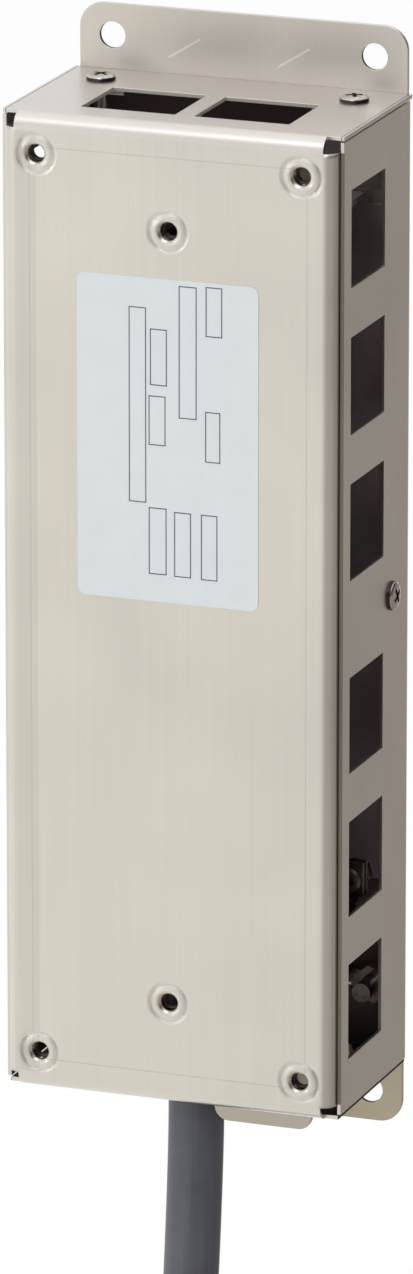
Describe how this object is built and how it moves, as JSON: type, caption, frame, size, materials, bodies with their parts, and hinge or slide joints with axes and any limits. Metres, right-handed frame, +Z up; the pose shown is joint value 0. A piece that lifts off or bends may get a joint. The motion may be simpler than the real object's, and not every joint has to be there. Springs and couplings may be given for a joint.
{
  "type": "braking resistor",
  "caption": "Flat wall-mounted braking resistor: folded bright sheet case with air windows, fixing tabs, threaded front holes and a grey flying lead.",
  "frame": {"origin": "middle of the four wall holes, on the wall plane (back of the case)", "axes": "+Z up along the case, +X to the right seen from the front, front face towards -Y"},
  "size_m": [0.0948, 0.0437, 0.4704],
  "materials": {
    "case_sheet": "bright-rolled stainless sheet",
    "label_film": "blank white film label",
    "screw_steel": "bright zinc-plated screw",
    "carrier_steel": "zinc-plated sheet",
    "steatite": "unglazed steatite",
    "cement": "dark silicone cement over wire",
    "band_steel": "nickel-plated band",
    "link_copper": "tinned copper strap",
    "switch_body": "moulded phenolic",
    "tab_brass": "plain brass",
    "lug_tin": "tinned copper",
    "wire_brown": "brown PVC",
    "wire_blue": "blue PVC",
    "wire_green_yellow": "green and yellow PVC",
    "wire_black": "black PVC",
    "wire_white": "white PVC",
    "grommet_rubber": "black rubber",
    "cable_jacket": "grey PVC jacket",
    "tie_nylon": "black nylon"
  },
  "bodies": {
    "root": {"back_tray": "case_sheet", "front_cover": "case_sheet", "rating_label": "label_film", "top_cover_screws": "screw_steel", "bottom_cover_screws": "screw_steel", "side_carrier_screws": "screw_steel", "element_carrier": "carrier_steel", "ceramic_tube_left": "steatite", "ceramic_tube_right": "steatite", "winding_left": "cement", "winding_right": "cement", "end_bushes": "steatite", "tie_rod_left": "screw_steel", "tie_rod_right": "screw_steel", "rod_nuts": "screw_steel", "upper_bands": "band_steel", "lower_bands": "band_steel", "series_link": "link_copper", "band_screws": "screw_steel", "thermal_switch": "switch_body", "switch_tabs": "tab_brass", "power_lugs": "lug_tin", "lead_power_a": "wire_brown", "lead_power_b": "wire_blue", "lead_switch_a": "wire_black", "lead_switch_b": "wire_white", "lead_earth": "wire_green_yellow", "earth_lug": "lug_tin", "earth_stud": "screw_steel", "earth_nut": "screw_steel", "cable_bracket": "carrier_steel", "cable_saddle": "carrier_steel", "saddle_screws": "screw_steel", "cable_grommet": "grommet_rubber", "supply_cable": "cable_jacket", "cable_tie": "tie_nylon", "free_core_a": "wire_brown", "free_core_b": "wire_blue", "free_core_c": "wire_green_yellow", "free_core_d": "wire_black", "free_core_e": "wire_white", "core_ferrules": "lug_tin"}
  },
  "joints": []
}
